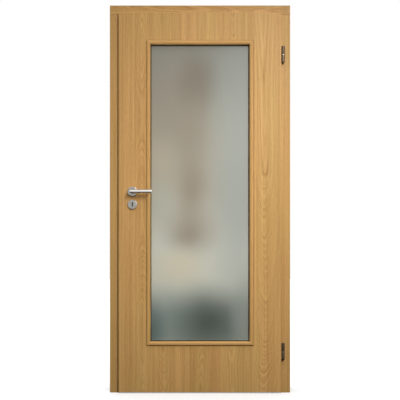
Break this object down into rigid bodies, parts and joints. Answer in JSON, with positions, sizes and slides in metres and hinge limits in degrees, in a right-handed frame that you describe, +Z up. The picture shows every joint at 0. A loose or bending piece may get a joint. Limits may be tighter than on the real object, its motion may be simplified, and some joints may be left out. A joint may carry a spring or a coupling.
{
  "type": "glazed interior door with frame",
  "caption": "Rebated oak-veneered door leaf with one tall satin glass pane, lever handle and key escutcheon, hung on barrel hinges in its lining and casings.",
  "frame": {"origin": "outer face of the frame on its hinge side, at floor level, flush with the front face of the wall", "axes": "+X out of the frame's hinge side, +Y from the opening side through the wall, +Z up"},
  "size_m": [0.946, 0.2215, 2.031],
  "materials": {
    "frame_veneer": "satin",
    "leaf_veneer": "satin",
    "leaf_core": "satin",
    "bead_oak": "satin",
    "satin_glass": "satin",
    "glazing_seal": "matte",
    "rubber_seal": "matte",
    "handle_steel": "satin",
    "lock_steel": "satin",
    "hinge_bronze": "satin",
    "hinge_washer": "satin"
  },
  "bodies": {
    "frame": {"lining_hinge_side": "frame_veneer", "lining_lock_side": "frame_veneer", "lining_head": "frame_veneer", "front_casing_hinge_side": "frame_veneer", "front_casing_lock_side": "frame_veneer", "front_casing_head": "frame_veneer", "back_casing_hinge_side": "frame_veneer", "back_casing_lock_side": "frame_veneer", "back_casing_head": "frame_veneer", "seal_hinge_side": "rubber_seal", "seal_lock_side": "rubber_seal", "seal_head": "rubber_seal", "strike_plate": "lock_steel", "upper_hinge_frame_knuckle": "hinge_bronze", "lower_hinge_frame_knuckle": "hinge_bronze", "hinge_washers": "hinge_washer"},
    "leaf": {"lock_stile": "leaf_core", "lock_block": "leaf_core", "hinge_stile": "leaf_core", "top_rail": "leaf_core", "bottom_rail": "leaf_core", "front_skin": "leaf_veneer", "back_skin": "leaf_veneer", "front_bead_bottom": "bead_oak", "front_bead_top": "bead_oak", "front_bead_lock_side": "bead_oak", "front_bead_hinge_side": "bead_oak", "back_bead_bottom": "bead_oak", "back_bead_top": "bead_oak", "back_bead_lock_side": "bead_oak", "back_bead_hinge_side": "bead_oak", "glass_pane": "satin_glass", "front_glazing_seal": "glazing_seal", "back_glazing_seal": "glazing_seal", "front_lever_rose": "handle_steel", "back_lever_rose": "handle_steel", "front_key_escutcheon": "handle_steel", "back_key_escutcheon": "handle_steel", "lock_forend": "lock_steel", "latch_bolt": "lock_steel", "dead_bolt": "lock_steel", "upper_hinge_leaf_knuckle": "hinge_bronze", "lower_hinge_leaf_knuckle": "hinge_bronze"},
    "lever": {"front_lever": "handle_steel", "back_lever": "handle_steel", "lever_spindle": "handle_steel"}
  },
  "joints": [
    {"name": "leaf_swing", "type": "hinge", "parent": "frame", "child": "leaf", "pos_m": [0.0045, -0.024, 0.995], "axis": [0, 0, 1], "range_deg": [0, 170]},
    {"name": "lever_turn", "type": "hinge", "parent": "leaf", "child": "lever", "pos_m": [-0.7825, -0.0115, 1.055], "axis": [0, 1, 0], "range_deg": [0, 40], "stiffness_Nm_per_rad": 1.5, "springref_deg": -28.65}
  ]
}
